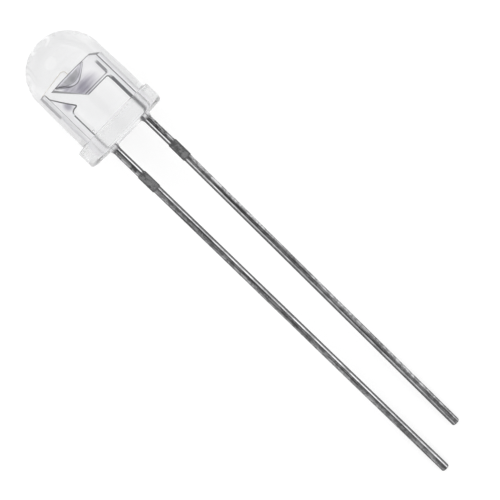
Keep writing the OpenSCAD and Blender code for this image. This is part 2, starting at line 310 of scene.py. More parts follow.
def straight(start, end, steps):
    """Points of a straight line after its start: start (1 - t) + end t, t evenly to one."""
    t = np.linspace(0.0, 1.0, steps)[1:, None]
    return start * (1 - t) + np.array(end) * t


def unit(vectors):
    """Vectors scaled to a length of one."""
    return vectors / np.linalg.norm(vectors, axis=-1, keepdims=True)


def rounded_outline(corners, steps=8):
    """Outline of straight sides whose corners (x, z, radius) are arcs.

    Each arc touches both sides at radius / tan(half the corner's angle) from the corner, and
    its points turn evenly from the first side's normal to the second's.
    """
    points = []
    count = len(corners)
    for i, (x, z, radius) in enumerate(corners):
        here = np.array([x, z])
        back = unit(np.array(corners[i - 1][:2]) - here)
        on = unit(np.array(corners[(i + 1) % count][:2]) - here)
        half = math.acos(np.clip(back @ on, -1.0, 1.0)) / 2
        centre = here + unit(back + on) * radius / math.sin(half)
        first = here + back * radius / math.tan(half) - centre
        last = here + on * radius / math.tan(half) - centre
        share = np.linspace(0.0, 1.0, steps)[:, None]
        points.append(centre + radius * unit(first * (1 - share) + last * share))
    return np.concatenate(points)


def inward(outline):
    """Mitred inward normals of an anticlockwise outline: the mean of both sides' normals,
    lengthened so that both sides move in by one."""
    ahead = unit(np.roll(outline, -1, axis=0) - outline)
    behind = np.roll(ahead, 1, axis=0)
    normal_ahead = np.stack([-ahead[:, 1], ahead[:, 0]], axis=1)
    normal_behind = np.stack([-behind[:, 1], behind[:, 0]], axis=1)
    total = normal_ahead + normal_behind
    return total * (2.0 / np.sum(total * total, axis=1))[:, None]


def shell(rings, start_pole=None, end_pole=None):
    """Closed shell over a grid of two parameters: ring after ring of points (rings, points, 3).

    Neighbouring rings are joined by quads that close round the ring. Each end is closed by one
    flat face, or by a fan to a pole where one is given.
    """
    count, around = rings.shape[:2]
    index = np.arange(count * around).reshape(count, around)
    after = np.roll(index, -1, axis=1)
    quads = np.stack([index[:-1], after[:-1], after[1:], index[1:]], axis=-1).reshape(-1, 4)
    points = [rings.reshape(-1, 3)]
    faces = quads.tolist()
    for ring, turned, pole in ((index[0], after[0], start_pole), (index[-1], after[-1], end_pole)):
        if pole is None:
            faces.append(ring.tolist())
            continue
        tip = sum(len(part) for part in points)
        points.append(np.array([pole], float))
        fan = np.stack([ring, turned, np.full(around, tip)], axis=1)
        faces.extend(fan.tolist())
    return np.concatenate(points), faces


def round_angles(count):
    """Angles evenly round a full turn, in radians."""
    return np.linspace(0.0, 2 * math.pi, count, endpoint=False)


def rings_about(centre_x, radii, heights, angles):
    """Rings about a line beside the lens axis, at x: (x + r cos a, r sin a, z)."""
    return np.stack([
        centre_x + radii * np.cos(angles),
        radii * np.sin(angles),
        np.repeat(heights, len(angles), axis=1),
    ], axis=-1)


def lathe(profile, centre_x, turns=96):
    """Surface of revolution about a line beside the lens axis: each point (r, z) of the profile
    becomes a ring (x + r cos a, r sin a, z). A radius of zero at an end is a pole."""
    start = profile[0, 0] == 0.0
    end = profile[-1, 0] == 0.0
    body = profile[int(start):len(profile) - int(end)]
    poles = [
        (centre_x, 0.0, profile[k, 1]) if closed else None
        for k, closed in ((0, start), (-1, end))
    ]
    return shell(rings_about(centre_x, body[:, 0:1], body[:, 1:2], round_angles(turns)), *poles)


def plate(outline, half_thickness, rounding):
    """Plate whose outline lies in the strip's plane and whose edges are round, with a radius for
    each point of the outline.

    Rows run from the front face over the front edge, down the side and over the back edge. The
    row at angle f is in by radius (1 - sin f) and down by radius (1 - cos f).
    """
    turn = np.linspace(0.0, math.pi / 2, 5)
    normals = inward(outline)
    rows = []
    for side in (-1, 1):
        for angle in turn[::-side]:
            moved = outline + normals * (rounding * (1 - math.sin(angle)))[:, None]
            level = side * (half_thickness - rounding * (1 - math.cos(angle)))
            rows.append(np.stack([moved[:, 0], level, moved[:, 1]], axis=1))
    return shell(np.array(rows))


def new_object(name, points, faces):
    """Object with a mesh of these points and faces, its normals turned outwards."""
    mesh = bpy.data.meshes.new(name)
    mesh.from_pydata(points.tolist(), [], faces)
    work = bmesh.new()
    work.from_mesh(mesh)
    bmesh.ops.remove_doubles(work, verts=work.verts, dist=2e-4 * MM)
    bmesh.ops.dissolve_degenerate(work, dist=1e-4 * MM, edges=work.edges)
    bmesh.ops.recalc_face_normals(work, faces=work.faces)
    work.to_mesh(mesh)
    work.free()
    made = bpy.data.objects.new(name, mesh)
    bpy.context.scene.collection.objects.link(made)
    return made


def combine(base, others, operation):
    """Joins others to base, or cuts them out of it, by an exact Boolean in millimetres."""
    for each in [base, *others]:
        each.data.transform(Matrix.Scale(1 / MM, 4))
    for other in others:
        cut = base.modifiers.new("combine", "BOOLEAN")
        cut.operation = operation
        cut.solver = "EXACT"
        cut.object = other
    graph = bpy.context.evaluated_depsgraph_get()
    mesh = bpy.data.meshes.new_from_object(base.evaluated_get(graph))
    if operation == "UNION" and len(mesh.polygons) < len(base.data.polygons) / 2:
        raise RuntimeError(f"{base.name}: the Boolean lost faces")
    base.modifiers.clear()
    base.data = mesh
    mesh.transform(Matrix.Scale(MM, 4))
    for other in others:
        bpy.data.objects.remove(other)


def finish_piece(piece, node, material, sharp=35.0, largest_smooth=1.0):
    """Places a piece from the LED's own axes in the row frame, smooths it and hangs it on the root body.

    Faces with more than four corners, and those over the largest smooth area in square metres,
    are plane and stay flat, so that their neighbours' roundings don't bend their shading.
    """
    mesh = piece.data
    mesh.transform(Matrix(AXES.T.tolist()).to_4x4())
    mesh.materials.clear()
    mesh.materials.append(material)
    count = len(mesh.polygons)
    areas, corners = np.zeros(count, np.float32), np.zeros(count, np.int32)
    mesh.polygons.foreach_get("area", areas)
    mesh.polygons.foreach_get("loop_total", corners)
    mesh.polygons.foreach_set("use_smooth", (corners <= 4) & (areas < largest_smooth))
    mesh.polygons.foreach_set("material_index", np.zeros(count, np.int32))
    mesh.set_sharp_from_angle(angle=math.radians(sharp))
    mesh.update()
    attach(piece, "root")
    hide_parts(node)


class Signal:
    """A value or colour in a node tree. Arithmetic on it adds math nodes to the tree."""

    def __init__(self, socket):
        self.socket = socket
        self.tree = socket.id_data

    def __add__(self, other):
        return math_node("ADD", self, other)

    def __radd__(self, other):
        return math_node("ADD", other, self)

    def __sub__(self, other):
        return math_node("SUBTRACT", self, other)

    def __rsub__(self, other):
        return math_node("SUBTRACT", other, self)

    def __mul__(self, other):
        return math_node("MULTIPLY", self, other)

    def __truediv__(self, other):
        return math_node("DIVIDE", self, other)

    def __abs__(self):
        return math_node("ABSOLUTE", self)


def feed(slot, value):
    """Links a signal to an input of a node, or sets the input to a plain value."""
    if isinstance(value, Signal):
        value.tree.links.new(value.socket, slot)
    else:
        slot.default_value = value


def dress(node, inputs):
    """Feeds the named inputs of a node."""
    for name, value in inputs.items():
        feed(node.inputs[name], value)


def math_node(operation, first, second=0.0):
    """One math node on two values, at least one of them a signal."""
    tree = first.tree if isinstance(first, Signal) else second.tree
    node = tree.nodes.new("ShaderNodeMath")
    node.operation = operation
    feed(node.inputs[0], first)
    feed(node.inputs[1], second)
    return Signal(node.outputs["Value"])


def larger(first, *others):
    """The largest of several values."""
    for other in others:
        first = math_node("MAXIMUM", first, other)
    return first


def ramp(value, low, high, out_low=0.0, out_high=1.0, curve="LINEAR"):
    """Value taken from low..high to out_low..out_high in a straight line, and held outside."""
    node = value.tree.nodes.new("ShaderNodeMapRange")
    node.interpolation_type = curve
    names = ("Value", "From Min", "From Max", "To Min", "To Max")
    dress(node, dict(zip(names, (value, low, high, out_low, out_high))))
    return Signal(node.outputs["Result"])


def fade(value, low, high, out_low=0.0, out_high=1.0):
    """Ramp that starts and ends softly."""
    return ramp(value, low, high, out_low, out_high, "SMOOTHSTEP")


def band(value, low, high, edge):
    """One between low and high, fading to zero over the edge's width at both ends."""
    return fade(value, low - edge, low + edge) * fade(value, high + edge, high - edge)


def blend(share, first, second):
    """Colour that goes from first to second with share. Either is a signal or a colour."""
    node = share.tree.nodes.new("ShaderNodeMix")
    node.data_type = "RGBA"
    feed(node.inputs["Factor"], share)
    for slot, value in zip(node.inputs[6:8], (first, second)):
        feed(slot, value if isinstance(value, Signal) else (*value, 1.0))
    return Signal(node.outputs[2])


def scaled(tint, factor):
    """A colour made darker or lighter by a factor."""
    return tuple(min(1.0, factor * part) for part in tint)


def mapping(place, **settings):
    """A place moved, turned or scaled by a mapping node."""
    node = place.tree.nodes.new("ShaderNodeMapping")
    dress(node, {"Vector": place, **settings})
    return Signal(node.outputs["Vector"])


def own_axes(tree):
    """Object coordinates turned into the LED's own axes, in metres."""
    where = Signal(tree.nodes.new("ShaderNodeTexCoord").outputs["Object"])
    return mapping(where, Rotation=Matrix(AXES.tolist()).to_euler())


def coordinates(place):
    """The three parts of a place or direction."""
    split = place.tree.nodes.new("ShaderNodeSeparateXYZ")
    feed(split.inputs["Vector"], place)
    return [Signal(output) for output in split.outputs]


def noise(place, scale, stretch=(1.0, 1.0, 1.0), detail=4.0, roughness=0.55):
    """Noise of this many cells to the metre, with each axis stretched by a factor."""
    squeezed = mapping(place, Scale=[1.0 / part for part in stretch])
    texture = place.tree.nodes.new("ShaderNodeTexNoise")
    dress(texture, {"Vector": squeezed, "Scale": scale, "Detail": detail, "Roughness": roughness})
    return Signal(texture.outputs["Fac"])


def spot(place, centre, reach):
    """Soft oval spot on both faces of the strip: one at its centre (x, z), zero at its reach,
    both in millimetres."""
    moved = mapping(
        place,
        Location=(-centre[0] / reach[0], 0.0, -centre[1] / reach[1]),
        Scale=(1.0 / (reach[0] * MM), 0.0, 1.0 / (reach[1] * MM)))
    distance = place.tree.nodes.new("ShaderNodeVectorMath")
    distance.operation = "LENGTH"
    feed(distance.inputs[0], moved)
    return fade(Signal(distance.outputs["Value"]), 1.0, 0.1)


def new_material(name):
    """Material with only its shader and output, and that shader."""
    material = bpy.data.materials.new(name)
    material.use_nodes = True
    return material, material.node_tree.nodes["Principled BSDF"]


def add_bump(shader, height, distance, strength):
    """Bump of this height on the shader, with its distance in metres."""
    node = height.tree.nodes.new("ShaderNodeBump")
    dress(node, {"Height": height, "Distance": distance, "Strength": strength})
    feed(shader.inputs["Normal"], Signal(node.outputs["Normal"]))


def resin_material():
    """Water-clear cast epoxy, with the faint ripple of its mould's polish.

    Its tint is painted shade: greyer in the dome and darker along the barrel's sides. The ends of the
    flange's underside are painted light, whiter and a little cloudy. The flange is rougher than the
    barrel.
    """
    finish, lens = sizes("led_finishes"), sizes("led_lens")
    material, shader = new_material("clear_resin")
    place = own_axes(shader.id_data)
    x, _, height = coordinates(place)
    from_middle = abs(x)
    over_flange = lens.flange_height + 0.05 * MM
    # Painted shade: the tint goes greyer in the dome and darker along the barrel's sides.
    dome_shade = fade(height, 0.4 * lens.top, 0.7 * lens.top)
    beside = fade(from_middle, 0.76 * lens.barrel_radius, 0.9 * lens.barrel_radius)
    beside = beside * ramp(height, lens.flange_height, over_flange)
    beside = beside * fade(height, 0.8 * lens.top, 0.64 * lens.top)
    # Painted light: the ends of the flange's underside turn whiter and cloudier, with less transmission.
    ends = fade(from_middle, 2.2 * MM, 2.7 * MM) * fade(height, 0.5 * MM, 0.2 * MM)
    tint = blend(dome_shade, finish.resin, finish.dome)
    tint = blend(beside, tint, finish.side)
    speckle = ramp(noise(place, 9000.0, detail=3.0), 0.45, 0.8, 0.0, 0.035)
    on_flange = ramp(height, over_flange, lens.flange_height, 0.0, 0.2)
    dress(shader, {
        "Base Color": blend(ends, tint, WHITE),
        "Transmission Weight": ramp(ends, 0.0, 1.0, 1.0, 0.55),
        "Roughness": speckle + on_flange + ends * 0.4,
        "IOR": RESIN_IOR,
    })
    add_bump(shader, noise(place, 700.0, detail=2.0), 0.006 * MM, 0.5)
    return material


def frame_zones(place):
    """Where a point of the lead frame is, with all lengths in millimetres.

    It holds the point's height and its distances from the lens axis, across and through the
    strip. It holds shares that are one on the short lead, on the long one, outside the lens, on
    the stub and on the stem, and the distances of a lead's sides and of its facet. Below the
    middle of its stub the short lead leans in, and is measured as if it ran straight.
    """
    lead, head = in_millimetres("led_leads"), in_millimetres("led_heads")
    x, y, height = [part / MM for part in coordinates(place)]
    short_side = math_node("GREATER_THAN", x, 0.0)
    below = larger(-lead.stub_down - lead.stub_length / 2 - height, 0.0)
    lean = below * math.tan(sizes("led_leads").toe_in)
    inner, outer = lead_sides(lead)
    return SimpleNamespace(
        lead=lead, head=head, place=place, x=x, height=height,
        across=abs(x) + lean * short_side, through=abs(y),
        short_side=short_side, long_side=1.0 - short_side,
        outside=fade(height, -0.02, -0.3),
        stub=band(height, -lead.stub_down - lead.stub_length, -lead.stub_down, 0.1),
        stem=fade(height, head.anvil_under, head.anvil_under - 0.2),
        inner=inner, outer=outer, facet=inner + lead.facet, turn_in=outer - lead.outer_round,
        half=lead.strip / 2, rise=lead.strip / 2 + head.panel_out,
    )


def shaded_spots(zone):
    """Spots of painted shade on the plating: below the cup, by the anvil's nose and on the post."""
    head = zone.head
    under_cup = spot(zone.place, (0.0, head.anvil_under + 0.45), (1.0, 0.85))
    by_nose = spot(zone.place, (-0.44, head.anvil_top - 0.72), (0.62, 0.6))
    on_post = spot(zone.place, (-0.98, head.post_under + 0.4), (0.3, 0.45))
    rolled = noise(zone.place, 5200.0, stretch=(6.0, 1.0, 1.0), detail=3.0)
    return larger(larger(under_cup, by_nose) * ramp(rolled, 0.35, 0.65, 0.7, 1.3), on_post)


def painted_plating_shade(zone, spots):
    """How pale the plating is inside the lens, and which of its faces are flat.

    The flat faces and the leads' outer roundings are pale. Painted shade takes from it at the line beside
    a rounding, the coined inner edge, the panel's slopes, the spots, the flare and the top edge, and
    painted light pales the long lead's inner edge on its stem.
    """
    head, half, stem = zone.head, zone.half, zone.stem
    across, through, height = zone.across, zone.through, zone.height
    facet = ramp(through, half - 0.027, half - 0.019) * (zone.long_side * stem)
    flat = larger(ramp(through, half - 0.005, half - 0.0002), facet)
    rounding = fade(across, zone.turn_in + 0.04, zone.turn_in + 0.07)

    # Painted shade: dark lines beside the roundings, on the coined inner edge, the panel's slopes, the
    # post's flare and end and the anvil's top edge.
    line = band(across, zone.turn_in + 0.01, zone.turn_in + 0.045, 0.012)
    coined = band(across, zone.inner - 0.05, zone.inner + 0.16, 0.02) * stem * zone.short_side
    panel_top = zone.outer - head.panel_side - head.panel_slope
    slope = band(through, half + 0.006, zone.rise - 0.006, 0.004)
    outer_slope = band(height, head.anvil_under + 0.2, head.anvil_top - 0.6, 0.12)
    outer_slope = outer_slope * (slope * ramp(across, panel_top - 0.04, panel_top))
    lower_slope = band(through, half + 0.026, half + 0.046, 0.006)
    lower_slope = lower_slope * ramp(height, head.anvil_under + 0.27, head.anvil_under + 0.2)
    flare = zone.outer + head.post_flare
    flare_foot = head.post_under + head.flare_step
    on_flare = ramp(height, flare_foot, flare_foot + 0.3 * head.flare_step)
    flare_edge = ramp(across, flare - 0.04, flare - 0.02) * (on_flare * 0.55)
    post_end = ramp(height, head.post_top - 0.07, head.post_top - 0.03)
    post_edges = larger(flare_edge, post_end) * zone.long_side
    top_edge = ramp(height, head.anvil_top - 0.07, head.anvil_top - 0.04)
    top_edge = top_edge * ramp(zone.x, -head.nose - 0.08, -head.nose - 0.03)

    pale = larger(flat, rounding)
    for mark, depth in (
        (line, 0.55), (coined, 0.75), (outer_slope, 0.85), (lower_slope, 0.7),
        (spots, 0.35), (post_edges, 0.75), (top_edge, 0.7),
    ):
        pale = pale - mark * depth
    # Painted light: the long lead's inner edge on its stem is kept pale.
    lit_inner_side = ramp(across, zone.inner + 0.03, zone.inner, 0.0, 0.4)
    return larger(pale, lit_inner_side * zone.long_side * stem), flat


def cup_colour(zone):
    """The reflector cup's outside with painted shade: bright, darker in a wedge above, with dark arcs and
    rim.
    """
    finish, head, rise = sizes("led_finishes"), zone.head, zone.rise
    rim_low, rim_high = head.anvil_top - 0.13, head.anvil_top - 0.05
    from_axis = abs(zone.x + head.cup_offset)
    # Painted shade: a darker wedge over the cup's axis on the cone, lighter in the rim band.
    cup_shade_share = fade(zone.through, rise + 0.17, rise + 0.24)
    cup_shade_share = cup_shade_share * fade(from_axis / zone.through, 0.7, 0.5)
    cup_shade_share = cup_shade_share * ramp(zone.height, rim_low + 0.02, rim_low - 0.03, 0.25)
    # Painted shade: dark arcs where the cone leaves the panel and round the cone, a darker middle and a
    # dark line along the rim.
    root = band(zone.through, rise + 0.006, rise + 0.05, 0.008)
    ring = band(zone.through, rise + 0.16, rise + 0.19, 0.012)
    deepest_shade = spot(zone.place, (-head.cup_offset, head.anvil_top - 0.4), (0.3, 0.3))
    rim_shade_line = ramp(zone.height, rim_high - 0.02, rim_high + 0.01, 0.0, 0.85)
    arcs = larger(root, ring * 0.8, deepest_shade * 0.35, rim_shade_line)
    return blend(arcs, blend(cup_shade_share * 0.85, finish.cup, finish.hollow), finish.edge)


def lead_colour(zone, inner_side, grain):
    """Drawn, dulled tin outside the lens: mottled and with dark lines, painted shade beside the facet's
    foot and at the inner edge, painted light along the outer side and a painted highlight along the inner
    one."""
    finish, lead = sizes("led_finishes"), zone.lead
    across, height, facet = zone.across, zone.height, zone.facet
    neck = ramp(height, -lead.stub_down - 0.1, -lead.stub_down + 0.1)
    # Painted light: the tin is lighter along the outer side, most on the short lead and above the stub.
    outer_side = fade(across, zone.turn_in - 0.03, zone.turn_in + 0.1)
    lighting = larger(0.25 + zone.short_side * 0.65, neck * 0.8)
    above = ramp(height, -lead.stub_down - 0.1, -lead.stub_down + 0.1, 0.7, 1.0)
    mottled = fade(grain.mottles, 0.56, 0.44) * above
    lined = fade(grain.streaks, 0.52, 0.4)
    # Painted shade: a dark band beside the foot of the inner facet, in the stains' tone.
    facet_foot_shade = band(across, facet + 0.01, facet + 0.08, 0.02) * ramp(neck, 0.0, 1.0, 0.35, 0.85)
    lower = fade(height, -0.25 * lead.cathode, -0.6 * lead.cathode) * zone.short_side
    # Painted highlight: a bright, broken line along the inner side, fainter low on the short lead.
    painted_highlight = noise(zone.place, 1900.0, stretch=(1.0, 1.0, 1.5), detail=3.0)
    painted_highlight = larger(inner_side * ramp(painted_highlight, 0.4, 0.6, 0.45, 1.0), inner_side * neck)
    painted_highlight = painted_highlight * ramp(lower, 0.0, 1.0, 1.0, 0.45)
    # Painted shade: darker along the inner edge.
    inner_edge_shade = fade(across, facet - 0.09, facet - 0.13)
    stain_and_shade = scaled(finish.sheared, STAIN_AND_SHADE)

    tint = blend(ramp(grain.blotches, 0.35, 0.65), scaled(finish.lead, 0.72), finish.lead)
    for share, layer in (
        (outer_side * lighting, scaled(finish.lead, 2.4)), (mottled * 0.85, stain_and_shade),
        (lined * 0.7, stain_and_shade), (facet_foot_shade, stain_and_shade), (painted_highlight, scaled(finish.lead, 2.8)),
        (inner_edge_shade, scaled(finish.lead, 0.45)),
    ):
        tint = blend(share, tint, layer)
    return tint


def stub_colour(zone, grain):
    """Bare torn steel of the tie bar stubs, darker at its edges, its ends and in patches."""
    sheared, lead = sizes("led_finishes").sheared, zone.lead
    bare = blend(ramp(grain.grit, 0.35, 0.7), sheared, scaled(sheared, 1.7))
    from_line = abs(zone.across - lead.pitch / 2)
    edges = ramp(from_line, zone.half - 0.05, zone.half + 0.01)
    bottom = -lead.stub_down - lead.stub_length
    middle = band(zone.height, bottom + 0.08, -lead.stub_down - 0.08, 0.05)
    patches = fade(grain.mottles, 0.55, 0.42, 0.0, 0.9)
    return blend(larger(edges, 1.0 - middle, patches) * 0.75, bare, scaled(sheared, STAIN_AND_SHADE))


def frame_material():
    """Tin-plated steel: pale plating with painted shade on its edges, slopes, spots and cup in the resin,
    and drawn, dulled tin with painted light and shade on the leads outside, sheared bare at the tie bar
    stubs."""
    finish = sizes("led_finishes")
    material, shader = new_material("plated_steel")
    place = own_axes(shader.id_data)
    zone = frame_zones(place)
    grain = SimpleNamespace(
        streaks=noise(place, 9000.0, stretch=(1.0, 1.0, 40.0), detail=5.0),
        blotches=noise(place, 1100.0, stretch=(1.0, 1.0, 3.0), detail=4.0),
        grit=noise(place, 16000.0, detail=5.0, roughness=0.7),
        mottles=noise(place, 6000.0, stretch=(1.0, 1.0, 1.8), detail=5.0, roughness=0.7),
    )
    outside, stub = zone.outside, zone.stub
    inside = 1.0 - outside
    cone = fade(zone.through, zone.rise, zone.rise + 0.02)
    inner_side = band(zone.across, zone.facet - 0.078, zone.facet - 0.018, 0.012)

    # Painted shade inside the lens: the spots turn the plated colour lavender grey, and the edge colour
    # darkens what isn't pale.
    spots = shaded_spots(zone)
    pale, flat = painted_plating_shade(zone, spots)
    plated = blend(pale, finish.edge, blend(spots * 0.75, finish.plated, finish.shade))
    plated = blend(cone, plated, cup_colour(zone))
    metal = blend(outside, plated, lead_colour(zone, inner_side, grain))
    matt = math_node("MINIMUM", pale, flat) * inside * (1.0 - cone)
    plated_rough = ramp(larger(cone, 1.0 - pale), 0.0, 1.0, 0.55, 0.3)
    drawn_rough = ramp(grain.streaks, 0.3, 0.7, 0.22, 0.42) * ramp(inner_side, 0.0, 1.0, 1.0, 0.5)
    dress(shader, {
        "Base Color": blend(stub, metal, stub_colour(zone, grain)),
        "Metallic": ramp(matt, 0.0, 1.0, 1.0, 0.2),
        "Roughness": larger(drawn_rough * outside + plated_rough * inside, stub * 0.55),
    })
    drawn = grain.streaks * (outside * 0.5)
    torn = grain.grit * (stub * 2.0)
    dents = grain.blotches * (outside * 0.8)
    add_bump(shader, drawn + torn + dents, 0.012 * MM, 0.6)
    return material


def grained_material(name, dark, light, rough, bump, looks, **grain):
    """Material whose colour, roughness and bump follow one fine grain.

    rough is the roughness at both ends of the grain, bump its distance and strength, and looks
    holds further inputs of the shader.
    """
    material, shader = new_material(name)
    fine = noise(own_axes(shader.id_data), **grain)
    dress(shader, {
        "Base Color": blend(fine, dark, light),
        "Roughness": ramp(fine, 0.3, 0.7, *rough),
        **looks,
    })
    add_bump(shader, fine, *bump)
    return material


def chip_material():
    """Sawn semiconductor crystal: dark and glossy, with fine saw lines on its sides."""
    crystal = sizes("led_finishes").chip
    return grained_material(
        "chip_crystal", crystal, scaled(crystal, 1.5), (0.08, 0.3), (0.002 * MM, 0.5),
        {"IOR": CRYSTAL_IOR}, scale=30000.0, stretch=(6.0, 6.0, 1.0), detail=2.0)


def adhesive_material():
    """Silver flakes in resin: grey, with a grainy shine."""
    adhesive = sizes("led_finishes").adhesive
    return grained_material(
        "silver_adhesive", scaled(adhesive, 0.5), adhesive, (0.35, 0.6), (0.004 * MM, 0.7),
        {"Metallic": 0.7}, scale=40000.0, detail=4.0, roughness=0.7)


def gold_material():
    """Drawn gold wire, bright, with faint lengthwise marks."""
    gold = sizes("led_finishes").gold
    return grained_material(
        "gold_wire", gold, scaled(gold, 1.06), (0.12, 0.26), (0.001 * MM, 0.4),
        {"Metallic": 1.0}, scale=60000.0, detail=3.0)


def lens_profile(lens):
    """Half section of the lens, from the dome's pole to the middle of the underside.

    The dome is the arc that touches the drafted barrel. The barrel runs down to its straight
    band, a small fillet turns out on to the flange, and both flange edges are quarter arcs.
    The upper arc is the tighter one. Returns the points, and how far in from the flange's rim
    each point of the flange is, with -1 for the points above it.
    """
    register_top = lens.flange_height + lens.register_height
    tilt = math.tan(lens.draft)
    radius = (lens.barrel_radius - (lens.top - register_top) * tilt) * math.cos(lens.draft)
    radius /= 1 - math.sin(lens.draft)
    middle = lens.top - radius
    dome = arc((0.0, middle), radius, 90.0, math.degrees(lens.draft), 72)
    dome[0, 0] = 0.0
    barrel = straight(dome[-1], (lens.barrel_radius, register_top), 12)
    fillet = arc(
        (lens.barrel_radius + lens.root_fillet, lens.flange_height + lens.root_fillet),
        lens.root_fillet, 180.0, 270.0, 6)
    edge = lens.flange_edge
    crisp = 0.45 * edge
    rim_x = lens.flange_radius - edge
    upper = arc((lens.flange_radius - crisp, lens.flange_height - crisp), crisp, 90.0, 0.0, 10)
    lower = arc((rim_x, edge), edge, 0.0, -90.0, 10)
    near = 0.02 * MM
    ledge = np.array([
        [lens.barrel_radius + lens.root_fillet + near, lens.flange_height],
        [lens.flange_radius - crisp - near, lens.flange_height],
    ])
    wall = np.array([[lens.flange_radius, lens.flange_height - crisp - near],
                     [lens.flange_radius, edge + near]])
    under = np.array([[rim_x - near, 0.0], [rim_x * 0.5, 0.0], [0.0, 0.0]])
    profile = np.concatenate([dome, barrel, fillet, ledge, upper, wall, lower, under])
    first_flange = len(dome) + len(barrel) + len(fillet) + 1
    inset = np.minimum(lens.flange_radius - profile[:, 0], edge)
    inset[:first_flange] = -1.0
    return profile, inset


def lens_shell(lens):
    """Outside of the casting, a lathe surface whose flange is cut by the flat.

    On the flange the radius at angle a is the smaller of its own and (flat - inset) / cos a, and
    it never falls inside the barrel.
    """
    profile, inset = lens_profile(lens)
    corner = math.acos(lens.flat / lens.flange_radius)
    even = np.linspace(-math.pi, math.pi, 288, endpoint=False)
    angles = np.unique(np.concatenate([even, [-corner, corner]]))
    radius, height = profile[1:-1, 0:1], profile[1:-1, 1:2]
    reach = inset[1:-1, None]
    flat = (lens.flat - reach) / np.maximum(np.cos(angles), 1e-6)
    above = height > lens.flange_height / 2
    flat = np.where(above, np.maximum(flat, lens.barrel_radius), flat)
    radii = np.where(reach >= 0.0, np.minimum(radius, flat), radius)
    rings = rings_about(0.0, radii, height, angles)
    return shell(rings, (0.0, 0.0, lens.top), (0.0, 0.0, 0.0))


def meniscus_shell(lens, lead, side):
    """Cove of resin round a lead: at depth d its radius is
    foot + m - sqrt(m^2 - (m - d)^2), a little deeper on the lead's outer side."""
    depth = np.linspace(0.0, 1.0, 16)
    m = lens.meniscus
    foot = lead.width / 2 + lens.film
    radius = foot + m - np.sqrt(m * m - (m * (1 - depth)) ** 2)
    radius = np.concatenate([[radius[0]], radius])
    z = np.concatenate([[OVERLAP], -m * depth])
    middle = side * lead.pitch / 2
    points, faces = lathe(np.stack([radius, z], axis=1), middle, 48)
    outwards = (points[:, 0] - middle) * side / (foot + m)
    below = points[:, 2] < 0.0
    points[:, 2] *= np.where(below, 1.0 + 0.12 * outwards, 1.0)
    return points, faces


def add_bubble(piece, centre, radius):
    """Small round bubble in the casting: a sphere whose faces point in, away from the resin."""
    work = bmesh.new()
    work.from_mesh(piece.data)
    made = bmesh.ops.create_icosphere(
        work, subdivisions=3, radius=radius, matrix=Matrix.Translation(centre))
    faces = list({face for vertex in made["verts"] for face in vertex.link_faces})
    bmesh.ops.reverse_faces(work, faces=faces)
    work.to_mesh(piece.data)
    work.free()


def section_ring(half_width, half_strip, outer, inner, facet, fall):
    """Section of a lead with its outer side at -x: a rectangle whose corners are arcs, and whose
    faces fall away along a facet beside the inner edges."""
    return rounded_outline([
        (-half_width, -half_strip, outer),
        (half_width - facet, -half_strip, 0.2 * fall),
        (half_width, -half_strip + fall, inner),
        (half_width, half_strip - fall, inner),
        (half_width - facet, half_strip, 0.2 * fall),
        (-half_width, half_strip, outer),
    ], 7)


def lead_rows(lead, reach, top):
    """Depth, half width, half thickness and roundings of a lead, row by row, from top to tip.

    The edges are sheared square over the stub, which is reached over a short slope. At the tip
    the row at depth d below the start of the rounding is in by r - sqrt(r^2 - d^2).
    """
    half = lead.width / 2
    slope = 2 * lead.stub_out
    start = -lead.stub_down
    end = start - lead.stub_length
    wide = half + lead.stub_out
    plain = (lead.outer_round, lead.inner_round)
    square = (lead.sheared / 3, lead.sheared / 3)
    rows = [(top, half, 0.0, plain), (start, half, 0.0, plain)]
    rows += [(start - slope / 2, half + lead.stub_out / 2, 0.0, square)]
    rows += [(start - slope, wide, 0.0, square), (end + slope, wide, 0.0, square)]
    rows += [(end + slope / 2, half + lead.stub_out / 2, 0.0, square), (end, half, 0.0, plain)]
    straight = np.linspace(end, -reach + lead.tip_round, 40)[1:]
    rows += [(z, half, 0.0, plain) for z in straight]
    for angle in np.linspace(0.0, 1.45, 9)[1:]:
        inset = lead.tip_round * (1 - math.cos(angle))
        z = -reach + lead.tip_round * (1 - math.sin(angle))
        rows.append((z, half - inset, 0.4 * inset, plain))
    return rows


def lead_shell(lead, side, reach, top, bend):
    """One lead from inside the lens to its tip, a section carried down its line.

    Below the middle of the stub the line leans in by the tangent of the bend. The section's
    roundings never pass the half width that is left at the tip.
    """
    middle = lead.stub_down + lead.stub_length / 2
    rings = []
    for z, half, thin, (outer, inner) in lead_rows(lead, reach, top):
        strip = lead.strip / 2 - STEP - thin
        limit = 0.9 * min(half, strip)
        fall = lead.facet_fall if outer > inner else 0.05 * lead.facet_fall
        facet = min(lead.facet, half)
        ring = section_ring(half, strip, min(outer, limit), min(inner, limit), facet, fall)
        lean = max(0.0, -z - middle) * math.tan(bend)
        x = side * (lead.pitch / 2 - ring[:, 0] - lean)
        rings.append(np.stack([x, ring[:, 1], np.full(len(ring), z)], axis=1))
    return shell(np.array(rings))


def side_strip(rows, lead, side):
    """Outer part of a head, with the lead's large outer rounding: a section carried upwards.

    Each row gives the section's outer and inner distance from the lens axis and its height at
    both, between which the ring is level or slants evenly.
    """
    rings = []
    half = lead.strip / 2 - 2 * STEP
    for outer, inner, outer_z, inner_z in rows:
        ring = rounded_outline([
            (-outer, -half, lead.outer_round),
            (-inner, -half, TIGHT / 2),
            (-inner, half, TIGHT / 2),
            (-outer, half, lead.outer_round),
        ], 7)
        z = outer_z + (inner_z - outer_z) * (ring[:, 0] + outer) / (outer - inner)
        rings.append(np.stack([-side * ring[:, 0], ring[:, 1], z], axis=1))
    return shell(np.array(rings))


